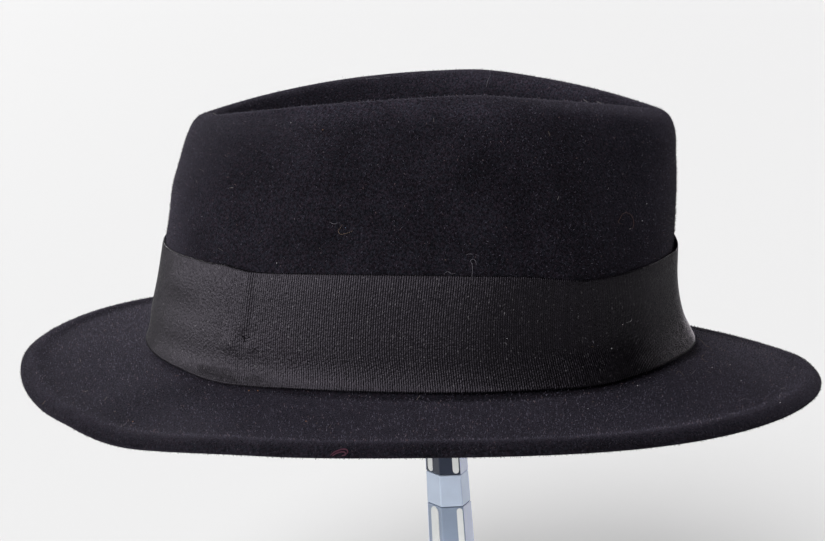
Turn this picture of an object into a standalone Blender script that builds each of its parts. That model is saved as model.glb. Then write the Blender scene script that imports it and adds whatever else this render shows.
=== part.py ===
import math

import bmesh
import bpy
from mathutils import Vector

# A teardrop-crowned felt hat with a wide ribbed ribbon, seated on a plain display stand.
# Metres, +Z up. The front of the hat points to +X. The origin is the centre of the stand's underside.

# Felt body
FELT = 0.0022                # thickness of the felt
BRIM_LENGTH = 0.308          # front to back over the brim's edge
BRIM_WIDTH = 0.2704          # side to side over the brim's edge
CROWN_LENGTH = 0.2067        # front to back over the felt, at the ribbon's lower edge
CROWN_WIDTH = 0.1778         # side to side over the felt, at the ribbon's lower edge
CROWN_HEIGHT = 0.0973        # ribbon's lower edge to the highest point of the crease's rim
CREASE_LENGTH = 0.1720       # front to back between the ends of the crease's rim
CREASE_WIDTH = 0.0950        # side to side between the crests of the crease's rim
CREASE_DEPTH = 0.0220        # highest crest to the level floor of the teardrop crease
BRIM_DROP = 0.0124           # ribbon's lower edge down to the middle of the brim's edge, on average
BREAK_DROP = 0.0022          # ribbon's lower edge down to the corner between crown and brim
BREAK_REACH = 0.0022         # how far that corner stands out from the crown
LIP_WIDTH = 0.0080           # width of the turned-up edge
LIP_RISE = 0.0020            # how far the turned-up edge rises
DENT_DEPTH = 0.0040          # depth of the finger pinches beside the crown's front

# Ribbon
RIBBON_HEIGHT = 0.0386       # width of the ribbon
RIBBON = 0.0010              # thickness of the ribbon
RIBBON_FLARE = 0.0013        # how far the ribbon's lower edge stands off
RIBBON_SET = 0.0085          # height over which it comes back to the crown
OVERLAP_LENGTH = 0.0180      # length over which the ribbon's end covers its start
OVERLAP_ANGLE = 241.0        # where that end stops, in degrees round the crown from the front

# Stand
HAT_LEVEL = 0.1900           # table to the ribbon's lower edge
HAT_OFFSET = -0.0200         # middle of the crown, measured along X from the foot of the post
POST_FOOT = 0.0111           # radius to the corners of the six-sided post, at the table
POST_HEAD = 0.0051           # the same, at the level of the crown's top
POST_SIDES = 6               # number of its faces
POST_TURN = 12.0             # turn of the post about its own axis, in degrees
POST_LEAN = 3.8              # lean of the post towards the back of the hat, in degrees
BASE_RADIUS = 0.0750
BASE_THICKNESS = 0.0060
BASE_EDGE = 0.0015           # rounding of the base's upper edge
PAD_RADIUS = 0.0300
PAD_THICKNESS = 0.0050
PAD_EDGE = 0.0012            # rounding of the pad's upper edge
COLLAR_LEVEL = 0.1214        # table to the underside of the collar
COLLAR_HEIGHT = 0.0127
COLLAR_WALL = 0.0004         # how far the collar stands out from the post

GAP = 0.0003                 # clearance between neighbouring pieces

SEGMENTS = 80                # steps round the crown and the brim
ROUND_STEPS = 64             # steps round the base and the pad
EDGE_STEPS = 3               # steps over their rounded edges

# Crown sections, upwards from the ribbon's lower edge. Height is a share of the crown's height, and
# follow says how far it goes with the crest's own rise and fall. Length, width and shift are shares
# of the crown's length and width. Ends and sides are the powers that square or sharpen the oval.
CROWN_SECTIONS = [
    # height, follow, length, width, shift, ends, sides
    (0.000, 0.0, 1.000, 1.000, 0.001, 0.88, 0.88),
    (0.055, 0.0, 0.987, 0.989, -0.001, 0.88, 0.88),
    (0.125, 0.0, 0.971, 0.979, -0.005, 0.87, 0.87),
    (0.250, 0.0, 0.947, 0.966, -0.004, 0.86, 0.86),
    (0.394, 0.0, 0.934, 0.949, 0.002, 0.85, 0.84),
    (0.530, 0.4, 0.928, 0.910, 0.007, 0.85, 0.85),
    (0.674, 0.8, 0.925, 0.857, 0.010, 0.87, 0.88),
    (0.813, 1.0, 0.911, 0.763, 0.015, 0.90, 0.94),
    (0.915, 1.0, 0.896, 0.660, 0.019, 0.94, 1.06),
    (0.975, 1.0, 0.871, 0.587, 0.019, 0.98, 1.22),
]

# Height of the crease's rim from the back (-1) to the front (+1), as a share of the crown's height.
CREST_HEIGHTS = [
    # station, height
    (-1.00, 0.868), (-0.75, 0.915), (-0.50, 0.952), (-0.25, 0.978), (0.00, 0.995),
    (0.20, 1.000), (0.50, 0.984), (0.75, 0.954), (1.00, 0.908),
]

# Teardrop crease, inwards from the crest of its rim: shares of the rim's length and width, and of
# the way down from the crest to the floor.
CREASE_SECTIONS = [
    # length, width, depth
    (1.000, 1.000, 0.00),
    (0.968, 0.925, 0.05),
    (0.930, 0.830, 0.25),
    (0.880, 0.700, 0.56),
    (0.820, 0.550, 0.82),
    (0.760, 0.380, 0.95),
    (0.700, 0.200, 1.00),
]
CREASE_ENDS = 1.00           # powers of its oval
CREASE_SIDES = 1.35
CREASE_TAPER = 0.12          # how much narrower the crease is towards the front
CREASE_POINT = 0.45          # how much more pointed its front end is
CREASE_SHIFT = 0.017         # share of the crown's length

# Rise and fall of the brim's edge: shares of the brim's average drop, by turns round the brim.
BRIM_WAVES = [
    # turns, cosine, sine
    (1, -0.219, -0.076),
    (2, -0.060, -0.326),
    (3, 0.024, 0.049),
    (4, 0.094, 0.034),
    (5, -0.028, -0.018),
]

BRIM_ENDS = 1.00             # powers of the brim's oval
BRIM_SIDES = 1.05

# Brim stations outwards from the crown: shares of the way to the turned-up edge.
BRIM_STATIONS = [0.0, 0.10, 0.28, 0.50, 0.74]
BRIM_BOW = 0.35              # how much sooner the brim falls near the crown than at its edge

# Turned-up edge, inwards from the edge: shares of its width.
LIP_STATIONS = [1.0, 0.62, 0.34, 0.14, 0.0]
LIP_POWER = 1.6
LIP_MIDDLE = 0.6             # share of its rise that lies below the edge's stated height

# How the ribbon's edges run along the crown, from the front (0) to the back (180), the same on both
# sides. Lower and upper are shares of the ribbon's width, upwards.
RIBBON_EDGES = [
    # angle, lower, upper
    (0, 0.060, 0.000), (20, 0.055, -0.015), (38, 0.037, -0.046), (54, 0.008, -0.073),
    (66, 0.016, -0.022), (88, 0.014, 0.004), (105, 0.006, 0.000), (124, -0.020, -0.020),
    (142, 0.010, 0.010), (160, 0.030, 0.015), (180, 0.025, 0.000),
]

RIBBON_STATIONS = [0.0, 0.07, 0.22, 0.46, 0.73, 1.0]    # shares of its width, upwards

# Soft dents in the crown's side: angle from the front in degrees, height, depth, spread in degrees
# and spread in height. Heights are shares of the crown's height, and depths of the pinches' depth.
SIDE_DENTS = [
    # angle, height, depth, angle spread, height spread
    (-36.0, 0.72, 1.00, 20.0, 0.20),
    (38.0, 0.73, 1.05, 21.0, 0.20),
    (-118.0, 0.62, 0.32, 16.0, 0.18),
    (-84.0, 0.58, 0.25, 12.0, 0.16),
    (128.0, 0.64, 0.30, 18.0, 0.18),
]


def power(value, exponent):
    """Signed power, so that an oval keeps its four quarters."""
    return math.copysign(abs(value) ** exponent, value)


def oval(angle, length, width, ends, sides):
    x = 0.5 * length * power(math.cos(angle), ends)
    y = 0.5 * width * power(math.sin(angle), sides)
    return x, y


def table_value(rows, at):
    """Straight reading of a two-column table."""
    if at <= rows[0][0]:
        return rows[0][1]
    for (x0, y0), (x1, y1) in zip(rows, rows[1:]):
        if at <= x1:
            share = (at - x0) / (x1 - x0)
            return y0 + (y1 - y0) * share
    return rows[-1][1]


def wave(rows, at, column):
    """Rounded reading of a table, level at each of its rows' turning points."""
    for low, high in zip(rows, rows[1:]):
        if at <= high[0]:
            share = (at - low[0]) / (high[0] - low[0])
            share = 0.5 - 0.5 * math.cos(math.pi * share)
            return low[column] + (high[column] - low[column]) * share
    return rows[-1][column]


def crest_share(angle):
    return table_value(CREST_HEIGHTS, math.cos(angle))


def angle_apart(a, b):
    return abs((a - b + 180.0) % 360.0 - 180.0)


def dent_at(angle, height_share):
    degrees = math.degrees(angle)
    total = 0.0
    for centre, height, depth, spread, height_spread in SIDE_DENTS:
        away = (angle_apart(degrees, centre) / spread) ** 2
        away += ((height_share - height) / height_spread) ** 2
        total += depth * math.exp(-away)
    return total * DENT_DEPTH


def crown_point(section, angle):
    height, follow, length, width, shift, ends, sides = section
    x, y = oval(angle, CROWN_LENGTH * length, CROWN_WIDTH * width, ends, sides)
    inwards = 1.0 - dent_at(angle, height) / math.hypot(x, y)
    rise = 1.0 + follow * (crest_share(angle) - 1.0)
    return Vector((x * inwards + CROWN_LENGTH * shift, y * inwards, CROWN_HEIGHT * height * rise))


def crease_point(section, angle):
    length, width, depth = section
    forwards = math.cos(angle)
    sides = CREASE_SIDES + CREASE_POINT * max(0.0, forwards)
    x, y = oval(angle, CREASE_LENGTH * length, CREASE_WIDTH * width, CREASE_ENDS, sides)
    y *= 1.0 - CREASE_TAPER * forwards
    crest = CROWN_HEIGHT * crest_share(angle)
    z = crest + (CROWN_HEIGHT - CREASE_DEPTH - crest) * depth
    return Vector((x + CROWN_LENGTH * CREASE_SHIFT, y, z))


def break_point(angle):
    ends, sides = CROWN_SECTIONS[0][5:]
    x, y = oval(angle, CROWN_LENGTH + 2 * BREAK_REACH, CROWN_WIDTH + 2 * BREAK_REACH, ends, sides)
    return Vector((x, y, -BREAK_DROP))


def edge_height(angle):
    """Height of the middle of the brim's edge."""
    share = -1.0
    for turns, cosine, sine in BRIM_WAVES:
        share += cosine * math.cos(turns * angle) + sine * math.sin(turns * angle)
    return BRIM_DROP * share


def brim_point(angle, from_crown, from_edge):
    """A point on the brim's upper face, by its share of the way out or its distance from the edge."""
    start = break_point(angle)
    x, y = oval(angle, BRIM_LENGTH, BRIM_WIDTH, BRIM_ENDS, BRIM_SIDES)
    reach = math.hypot(x - start.x, y - start.y)
    if from_edge is None:
        share = from_crown * (1.0 - LIP_WIDTH / reach)
        lift = 0.0
    else:
        share = 1.0 - LIP_WIDTH * from_edge / reach
        lift = LIP_RISE * (1.0 - from_edge) ** LIP_POWER
    plane = edge_height(angle) + 0.5 * FELT - LIP_MIDDLE * LIP_RISE
    fall = share * (1.0 + BRIM_BOW) - BRIM_BOW * share * share
    z = start.z + (plane - start.z) * fall + lift
    return Vector((start.x + (x - start.x) * share, start.y + (y - start.y) * share, z))


def angles():
    return [2.0 * math.pi * step / SEGMENTS for step in range(SEGMENTS)]


def felt_rings():
    """Rings of the felt's outer face, from the floor of the crease out to the brim's edge."""
    rings = []
    for section in reversed(CREASE_SECTIONS):
        rings.append([crease_point(section, a) for a in angles()])
    for section in reversed(CROWN_SECTIONS):
        rings.append([crown_point(section, a) for a in angles()])
    for share in BRIM_STATIONS:
        rings.append([brim_point(a, share, None) for a in angles()])
    for share in LIP_STATIONS:
        rings.append([brim_point(a, None, share) for a in angles()])
    return rings


def place_hat(point):
    return (point.x + HAT_OFFSET, point.y, point.z + HAT_LEVEL)


def bridge(bm, lower, upper):
    count = len(lower)
    for i in range(count):
        j = (i + 1) % count
        bm.faces.new((lower[i], lower[j], upper[j], upper[i]))


def close_crease(bm, ring):
    """Zip the innermost ring shut along the floor of the crease."""
    count = len(ring)
    bm.faces.new((ring[0], ring[1], ring[count - 1]))
    for i in range(1, count // 2 - 1):
        bm.faces.new((ring[i], ring[i + 1], ring[count - i - 1], ring[count - i]))
    middle = count // 2
    bm.faces.new((ring[middle - 1], ring[middle], ring[middle + 1]))


def new_object(name, bm, material, smooth_angle=35.0):
    bmesh.ops.recalc_face_normals(bm, faces=bm.faces[:])
    mesh = bpy.data.meshes.new(name)
    bm.to_mesh(mesh)
    bm.free()
    mesh.shade_smooth()
    mesh.set_sharp_from_angle(angle=math.radians(smooth_angle))
    mesh.materials.append(material)
    obj = bpy.data.objects.new(name, mesh)
    bpy.context.scene.collection.objects.link(obj)
    return obj


def new_material(name, colour, roughness, metallic=0.0):
    material = bpy.data.materials.new(name)
    material.use_nodes = True
    shader = material.node_tree.nodes["Principled BSDF"]
    shader.inputs["Base Color"].default_value = (*colour, 1.0)
    shader.inputs["Roughness"].default_value = roughness
    shader.inputs["Metallic"].default_value = metallic
    return material


def make_felt_body():
    bm = bmesh.new()
    rings = [[bm.verts.new(place_hat(p)) for p in ring] for ring in felt_rings()]
    close_crease(bm, rings[0])
    for inner, outer in zip(rings, rings[1:]):
        bridge(bm, inner, outer)
    obj = new_object("felt_body", bm, new_material("black_felt", (0.012, 0.011, 0.015), 0.95))
    wall = obj.modifiers.new("felt_thickness", "SOLIDIFY")
    wall.thickness = FELT
    wall.offset = -1.0
    wall.use_even_offset = True
    return obj


def side_section(height):
    """Crown section at a height above the ribbon's lower edge, read between the table's rows."""
    share = height / CROWN_HEIGHT
    for low, high in zip(CROWN_SECTIONS, CROWN_SECTIONS[1:]):
        if share <= high[0]:
            part = (share - low[0]) / (high[0] - low[0])
            return tuple(a + (b - a) * part for a, b in zip(low, high))
    return CROWN_SECTIONS[-1]


def outwards(height, angle):
    """Level direction pointing away from the crown's side."""
    step = math.radians(0.5)
    before = crown_point(side_section(height), angle - step)
    after = crown_point(side_section(height), angle + step)
    along = after - before
    return Vector((along.y, -along.x, 0.0)).normalized()


def ribbon_height(share, angle):
    """Height on the crown of a share of the ribbon's width."""
    from_front = angle_apart(math.degrees(angle), 0.0)
    lower = wave(RIBBON_EDGES, from_front, 1)
    upper = 1.0 + wave(RIBBON_EDGES, from_front, 2)
    return RIBBON_HEIGHT * (lower + (upper - lower) * share)


def ribbon_ring(share, stand_off):
    ring = []
    for angle in angles():
        height = ribbon_height(share, angle)
        point = crown_point(side_section(height), angle)
        ring.append(point + outwards(height, angle) * stand_off(angle))
    return ring


def overlap_step(angle):
    """Extra thickness where the ribbon's end lies over its start."""
    degrees = math.degrees(angle)
    span = math.degrees(OVERLAP_LENGTH / (0.5 * CROWN_WIDTH))
    inside = OVERLAP_ANGLE - span <= degrees <= OVERLAP_ANGLE
    return RIBBON if inside else 0.0


def make_ribbon_band():
    bm = bmesh.new()
    inner, outer = [], []
    for share in RIBBON_STATIONS:
        flare = RIBBON_FLARE * max(0.0, 1.0 - share * RIBBON_HEIGHT / RIBBON_SET) ** 2
        near = ribbon_ring(share, lambda a: GAP + flare)
        far = ribbon_ring(share, lambda a: GAP + flare + RIBBON + overlap_step(a))
        inner.append([bm.verts.new(place_hat(p)) for p in near])
        outer.append([bm.verts.new(place_hat(p)) for p in far])
    for low, high in zip(outer, outer[1:]):
        bridge(bm, low, high)
    for low, high in zip(inner, inner[1:]):
        bridge(bm, high, low)
    bridge(bm, inner[0], outer[0])
    bridge(bm, outer[-1], inner[-1])
    return new_object("ribbon_band", bm, new_material("ribbon", (0.020, 0.018, 0.023), 0.60))


def post_centre(level):
    """Where the leaning post's axis passes a level."""
    return Vector((-math.tan(math.radians(POST_LEAN)) * level, 0.0))


def post_ring(level, stand_out):
    """Corners of the tapering six-sided post at a level."""
    centre = post_centre(level)
    up = level / (HAT_LEVEL + CROWN_HEIGHT)
    radius = POST_FOOT + (POST_HEAD - POST_FOOT) * up + stand_out
    ring = []
    for corner in range(POST_SIDES):
        turn = math.radians(POST_TURN + 360.0 * corner / POST_SIDES)
        ring.append((centre.x + radius * math.cos(turn), centre.y + radius * math.sin(turn), level))
    return ring


def make_post_piece(name, low, high, material, stand_out=0.0):
    """A leaning length of the post with level ends."""
    bm = bmesh.new()
    lower, upper = [[bm.verts.new(p) for p in post_ring(level, stand_out)] for level in (low, high)]
    bm.faces.new(list(reversed(lower)))
    bm.faces.new(upper)
    bridge(bm, lower, upper)
    return new_object(name, bm, material, 25.0)


def make_disc(name, centre, low, radius, thickness, edge, material):
    """A round plate with its upper edge rounded off."""
    arc = [0.5 * math.pi * step / EDGE_STEPS for step in range(EDGE_STEPS + 1)]
    profile = [(radius, 0.0)]
    profile += [(radius - edge + edge * math.cos(a), thickness - edge + edge * math.sin(a)) for a in arc]
    bm = bmesh.new()
    rings = []
    for r, z in profile:
        steps = [2.0 * math.pi * i / ROUND_STEPS for i in range(ROUND_STEPS)]
        rings.append([bm.verts.new((centre.x + r * math.cos(a), centre.y + r * math.sin(a), low + z))
                      for a in steps])
    bm.faces.new(list(reversed(rings[0])))
    bm.faces.new(rings[-1])
    for lower, upper in zip(rings, rings[1:]):
        bridge(bm, lower, upper)
    return new_object(name, bm, material, 40.0)


def make_stand():
    pale = new_material("pale_blue_grey", (0.45, 0.50, 0.57), 0.40)
    slate = new_material("dark_slate", (0.030, 0.040, 0.070), 0.35)
    mid = new_material("blue_grey", (0.23, 0.28, 0.36), 0.40)
    pad_top = HAT_LEVEL + CROWN_HEIGHT - CREASE_DEPTH - FELT - GAP
    pad_low = pad_top - PAD_THICKNESS
    collar_high = COLLAR_LEVEL + COLLAR_HEIGHT
    make_disc("base_plate", Vector((0.0, 0.0)), 0.0, BASE_RADIUS, BASE_THICKNESS, BASE_EDGE, pale)
    make_post_piece("post_lower", BASE_THICKNESS + GAP, COLLAR_LEVEL - GAP, mid)
    make_post_piece("post_collar", COLLAR_LEVEL, collar_high, pale, COLLAR_WALL)
    make_post_piece("post_upper", collar_high + GAP, pad_low - GAP, slate)
    make_disc("top_pad", post_centre(pad_low), pad_low, PAD_RADIUS, PAD_THICKNESS, PAD_EDGE, pale)


def main():
    for obj in list(bpy.data.objects):
        bpy.data.objects.remove(obj, do_unlink=True)
    make_felt_body()
    make_ribbon_band()
    make_stand()


main()
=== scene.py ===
import math

import bmesh
import bpy
import numpy as np
from mathutils import Matrix, Vector
from mathutils.bvhtree import BVHTree


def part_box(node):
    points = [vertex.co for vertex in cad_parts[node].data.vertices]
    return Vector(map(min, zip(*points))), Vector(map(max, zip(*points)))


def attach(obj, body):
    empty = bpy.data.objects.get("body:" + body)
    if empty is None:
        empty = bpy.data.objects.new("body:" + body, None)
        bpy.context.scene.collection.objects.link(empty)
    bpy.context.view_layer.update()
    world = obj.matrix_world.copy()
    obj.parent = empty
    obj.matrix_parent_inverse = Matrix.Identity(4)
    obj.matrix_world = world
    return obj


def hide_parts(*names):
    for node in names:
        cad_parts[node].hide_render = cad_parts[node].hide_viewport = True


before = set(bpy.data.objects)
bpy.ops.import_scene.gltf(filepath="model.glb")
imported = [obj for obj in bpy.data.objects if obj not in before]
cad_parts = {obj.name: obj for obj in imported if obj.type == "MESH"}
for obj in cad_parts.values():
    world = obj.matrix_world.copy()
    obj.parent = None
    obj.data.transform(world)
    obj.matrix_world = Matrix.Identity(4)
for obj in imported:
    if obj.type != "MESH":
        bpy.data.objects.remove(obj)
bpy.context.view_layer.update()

scene = bpy.context.scene
scene.view_settings.view_transform = "Standard"
print("frame loaded:", ", ".join(sorted(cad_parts)))


# Helpers for meshes

def makeMesh(name, points, faces):
    mesh = bpy.data.meshes.new(name)
    mesh.from_pydata(np.asarray(points).reshape(-1, 3).tolist(), [], faces)
    mesh.update()
    return mesh


def addObject(name, mesh, material=None, smooth=True):
    if smooth:
        mesh.shade_smooth()
    obj = bpy.data.objects.new(name, mesh)
    scene.collection.objects.link(obj)
    if material:
        mesh.materials.clear()
        mesh.materials.append(material)
    return obj


def turnOutwards(mesh):
    # points every face of closed shells outwards
    shape = bmesh.new()
    shape.from_mesh(mesh)
    bmesh.ops.recalc_face_normals(shape, faces=shape.faces[:])
    shape.to_mesh(mesh)
    shape.free()


def gridFaces(rowCount, columnCount, closed):
    last = columnCount if closed else columnCount - 1
    faces = []
    for row in range(rowCount - 1):
        low = row * columnCount
        for column in range(last):
            side = (column + 1) % columnCount
            faces.append((low + column, low + side, low + columnCount + side, low + columnCount + column))
    return faces


def gridNormals(grid, closed):
    # normals of a grid of points whose columns run anticlockwise and whose rows run upwards
    along = np.gradient(grid, axis=0)
    if closed:
        across = np.roll(grid, -1, axis=1) - np.roll(grid, 1, axis=1)
    else:
        across = np.gradient(grid, axis=1)
    normals = np.cross(across, along)
    return normals / np.maximum(np.linalg.norm(normals, axis=2, keepdims=True), 1e-12)


def hermite(t, span, first, firstSlope, last, lastSlope):
    # smooth way from one value to the next, with the slope at each
    start = (2 * t**3 - 3 * t**2 + 1) * first + (t**3 - 2 * t**2 + t) * span * firstSlope
    end = (3 * t**2 - 2 * t**3) * last + (t**3 - t**2) * span * lastSlope
    return start + end


def smoothThrough(rings, spacing, fineRings=0, fineSpacing=None):
    # rings at even distances on a smooth surface through the given ones, closer over the last few
    stack = np.array(rings)
    steps = np.linalg.norm(np.diff(stack, axis=0), axis=2).mean(axis=1)
    at = np.concatenate([[0.0], np.cumsum(steps)])
    wide = steps[:, None, None]
    rise = np.diff(stack, axis=0) / wide
    slopes = np.empty_like(stack)
    slopes[0] = rise[0]
    slopes[-1] = rise[-1]
    slopes[1:-1] = (rise[:-1] * wide[1:] + rise[1:] * wide[:-1]) / (wide[1:] + wide[:-1])
    fineStart = at[len(at) - 1 - fineRings]
    where = np.linspace(0.0, fineStart, int(round(fineStart / spacing)) + 1)
    if fineRings:
        count = int(round((at[-1] - fineStart) / fineSpacing)) + 1
        where = np.concatenate([where[:-1], np.linspace(fineStart, at[-1], count)])
    index = np.clip(np.searchsorted(at, where, side="right") - 1, 0, len(steps) - 1)
    t = ((where - at[index]) / steps[index])[:, None, None]
    return hermite(t, wide[index], stack[index], slopes[index], stack[index + 1], slopes[index + 1])


def smoothTable(rows, at, column=1):
    # smooth reading of one column of a table, by its first column
    x = np.array([row[0] for row in rows], float)
    y = np.array([row[column] for row in rows], float)
    slopes = np.gradient(y, x)
    index = np.clip(np.searchsorted(x, at, side="right") - 1, 0, len(x) - 2)
    span = x[index + 1] - x[index]
    t = np.clip((at - x[index]) / span, 0.0, 1.0)
    return hermite(t, span, y[index], slopes[index], y[index + 1], slopes[index + 1])


def smoothStep(values, low, high):
    t = np.clip((values - low) / (high - low), 0.0, 1.0)
    return t * t * (3.0 - 2.0 * t)


def degreesApart(a, b):
    return np.abs((a - b + 180.0) % 360.0 - 180.0)


def softBumps(rows, degrees, heights):
    # sum of round bumps, each with its angle, height, rise, angle spread and height spread
    total = np.zeros(np.broadcast(degrees, heights).shape)
    for angle, at, rise, spread, heightSpread in rows:
        away = (degreesApart(degrees, angle) / spread) ** 2 + ((heights - at) / heightSpread) ** 2
        total += rise * np.exp(-away)
    return total


# Helpers for node trees

def addNode(tree, kind, inputs=None, **settings):
    node = tree.nodes.new(kind)
    for name, value in settings.items():
        setattr(node, name, value)
    for name, value in (inputs or {}).items():
        if isinstance(value, bpy.types.NodeSocket):
            tree.links.new(value, node.inputs[name])
        else:
            node.inputs[name].default_value = value
    return node


def newMaterial(name, **constants):
    material = bpy.data.materials.new(name)
    material.use_nodes = True
    tree = material.node_tree
    shader = tree.nodes["Principled BSDF"]
    for socket, value in constants.items():
        shader.inputs[socket.replace("_", " ")].default_value = value
    return material, tree, shader


def twoTones(tree, value, dark, light, low=0.3, high=0.7):
    # colours from dark to light by a value
    ramp = addNode(tree, "ShaderNodeValToRGB", {"Fac": value})
    ramp.color_ramp.elements[0].position = low
    ramp.color_ramp.elements[0].color = (*dark, 1.0)
    ramp.color_ramp.elements[1].position = high
    ramp.color_ramp.elements[1].color = (*light, 1.0)
    return ramp.outputs["Color"]


def objectPlace(tree):
    return addNode(tree, "ShaderNodeTexCoord").outputs["Object"]


def readAttribute(tree, name, output="Fac"):
    return addNode(tree, "ShaderNodeAttribute", attribute_name=name).outputs[output]


def addNoise(tree, place, scale, detail, **inputs):
    inputs = {"Vector": place, "Scale": scale, "Detail": detail, **inputs}
    return addNode(tree, "ShaderNodeTexNoise", inputs).outputs["Fac"]


def mapTo(tree, value, low, high, fromLow=0.0, fromHigh=1.0):
    inputs = {"Value": value, "From Min": fromLow, "From Max": fromHigh, "To Min": low, "To Max": high}
    return addNode(tree, "ShaderNodeMapRange", inputs).outputs["Result"]


def mathNode(tree, operation, *values):
    return addNode(tree, "ShaderNodeMath", dict(enumerate(values)), operation=operation).outputs[0]


def scaleBy(tree, vector, scale):
    return addNode(tree, "ShaderNodeVectorMath", {0: vector, "Scale": scale}, operation="SCALE").outputs[0]


def setInput(tree, shader, name, value):
    tree.links.new(value, shader.inputs[name])


def setBump(tree, shader, height, strength, distance):
    bump = addNode(tree, "ShaderNodeBump", {"Height": height, "Strength": strength, "Distance": distance})
    setInput(tree, shader, "Normal", bump.outputs["Normal"])


def newShapeTree(name, inputs):
    # a geometry tree with one mesh in, one mesh out and the named inputs
    tree = bpy.data.node_groups.new(name, "GeometryNodeTree")
    tree.interface.new_socket("Geometry", in_out="INPUT", socket_type="NodeSocketGeometry")
    for label, kind, value in inputs:
        socket = tree.interface.new_socket(label, in_out="INPUT", socket_type="NodeSocket" + kind)
        if value is not None:
            socket.default_value = value
    tree.interface.new_socket("Geometry", in_out="OUTPUT", socket_type="NodeSocketGeometry")
    return tree, tree.nodes.new("NodeGroupInput").outputs, tree.nodes.new("NodeGroupOutput").inputs


def endTree(tree, geometry, given, out):
    real = addNode(tree, "GeometryNodeRealizeInstances", {"Geometry": geometry})
    paint = addNode(tree, "GeometryNodeSetMaterial",
                    {"Geometry": real.outputs[0], "Material": given["Material"]})
    tree.links.new(paint.outputs[0], out["Geometry"])


def growTree(obj, tree, values, name):
    # runs a geometry tree on obj and gives its result as a plain mesh object
    modifier = obj.modifiers.new("shape", "NODES")
    modifier.node_group = tree
    for item in tree.interface.items_tree:
        if item.name in values:
            modifier[item.identifier] = values[item.name]
    bpy.context.view_layer.update()
    graph = bpy.context.evaluated_depsgraph_get()
    mesh = bpy.data.meshes.new_from_object(obj.evaluated_get(graph), depsgraph=graph)
    mesh.name = name
    obj.modifiers.remove(modifier)
    grown = bpy.data.objects.new(name, mesh)
    scene.collection.objects.link(grown)
    return grown


def removeObject(obj):
    mesh = obj.data
    bpy.data.objects.remove(obj, do_unlink=True)
    bpy.data.meshes.remove(mesh)


def finishPiece(obj, slotName, *nodes):
    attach(obj, "root")
    if nodes:
        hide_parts(*nodes)
    print("made", obj.name, "-", sum(len(p.vertices) - 2 for p in obj.data.polygons), "triangles")


# The photograph's camera

photo = dict(width=825, height=541)
camera = dict(
    target=Vector((-0.020, 0.0, 0.190)),
    distance=0.750,
    elevation=13.52,
    turn=4.02,               # towards the front of the hat
    roll=0.03,
    aimRight=-0.00264,
    aimUp=0.02376,
    lens=84.11,
    nearest=0.01,
)


def makeCamera():
    up = math.radians(camera["elevation"])
    turn = Matrix.Rotation(math.radians(camera["turn"]), 3, "Z")
    place = Vector((0.0, -camera["distance"] * math.cos(up), camera["distance"] * math.sin(up)))
    aim = Vector((camera["aimRight"], camera["aimUp"] * math.sin(up), camera["aimUp"] * math.cos(up)))
    ahead = (aim - place).normalized()
    right = ahead.cross(Vector((0.0, 0.0, 1.0))).normalized()
    axes = Matrix((right, right.cross(ahead), -ahead)).transposed()
    axes = turn @ axes @ Matrix.Rotation(math.radians(camera["roll"]), 3, "Z")
    data = bpy.data.cameras.new("camera")
    data.lens = camera["lens"]
    data.clip_start = camera["nearest"]
    obj = bpy.data.objects.new("camera", data)
    scene.collection.objects.link(obj)
    obj.matrix_world = Matrix.Translation(camera["target"] + turn @ place) @ axes.to_4x4()
    scene.camera = obj
    return obj


# Felt

hat = dict(
    felt=0.0022,
    crownLength=0.2067,
    crownWidth=0.1778,
    crownHeight=0.0973,
    creaseLength=0.1720,
    creaseWidth=0.0950,
    creaseDepth=0.0220,
    creaseEnds=1.00,
    creaseSides=1.35,
    creasePoint=0.45,
    creaseTaper=0.12,
    creaseShift=0.017,
    brimDrop=0.0124,
    brimEnds=1.00,
    brimSides=1.05,
    brimBow=0.35,
    breakDrop=0.0022,
    breakReach=0.0022,
    lipWidth=0.0115,
    lipRise=0.0014,
    lipLevel=0.00128,        # height of the brim inside its rolled edge over the middle of its outline
    lipTilt=0.00048,         # lower by this at the far side, higher at the near side
    dentDepth=0.0040,
    softDepth=0.0006,        # height of the soft rises and hollows left by shaping
    softHeights=(0.36, 0.48),    # heights, as shares of the crown's, over which they set in
    softLevels=(0.55, 0.9),      # how level the felt is where they fade out again
    wornAndHighlitHeights=(0.87, 0.99),    # heights over which the crown's crest turns paler, for worn nap and a painted highlight
    wornAndHighlitLevels=(0.80, 0.99),     # how level the felt is where it darkens again, by the next share; the painted highlight is weaker where the felt lies level
    wornAndHighlitLoss=0.6,
    rollReach=0.968,         # where the brim's roll is palest, as a share of the way to its edge: wear and a painted highlight
    rollSpread=0.014,
    rollWearAndHighlight=0.42,           # how worn and painted pale it is beside the crest, wear and painted highlight together
    columns=360,
    ringSpacing=0.00150,
    lipSpacing=0.00060,
    edgeRings=5,
)
feltLow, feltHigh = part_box("felt_body")
brimLength = feltHigh.x - feltLow.x - 0.5 * hat["felt"]
brimWidth = feltHigh.y - feltLow.y - 0.5 * hat["felt"]
hatMiddle = Vector((0.5 * (feltLow.x + feltHigh.x), 0.0, feltHigh.z - hat["crownHeight"]))

# The crown's sections, the crest of the crease's rim, the crease, the brim's rise and fall and the
# dents are shares of the sizes above, as in the solids.
crownSections = [
    # height, follow, length, width, shift, ends, sides
    (0.000, 0.0, 1.000, 1.000, 0.001, 0.88, 0.88),
    (0.055, 0.0, 0.987, 0.989, -0.001, 0.88, 0.88),
    (0.125, 0.0, 0.971, 0.979, -0.005, 0.87, 0.87),
    (0.250, 0.0, 0.947, 0.966, -0.004, 0.86, 0.86),
    (0.394, 0.0, 0.934, 0.949, 0.002, 0.85, 0.84),
    (0.530, 0.4, 0.928, 0.910, 0.007, 0.85, 0.85),
    (0.674, 0.8, 0.925, 0.857, 0.010, 0.87, 0.88),
    (0.813, 1.0, 0.911, 0.763, 0.015, 0.90, 0.94),
    (0.915, 1.0, 0.896, 0.660, 0.019, 0.94, 1.06),
    (0.975, 1.0, 0.871, 0.587, 0.019, 0.98, 1.22),
]
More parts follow.
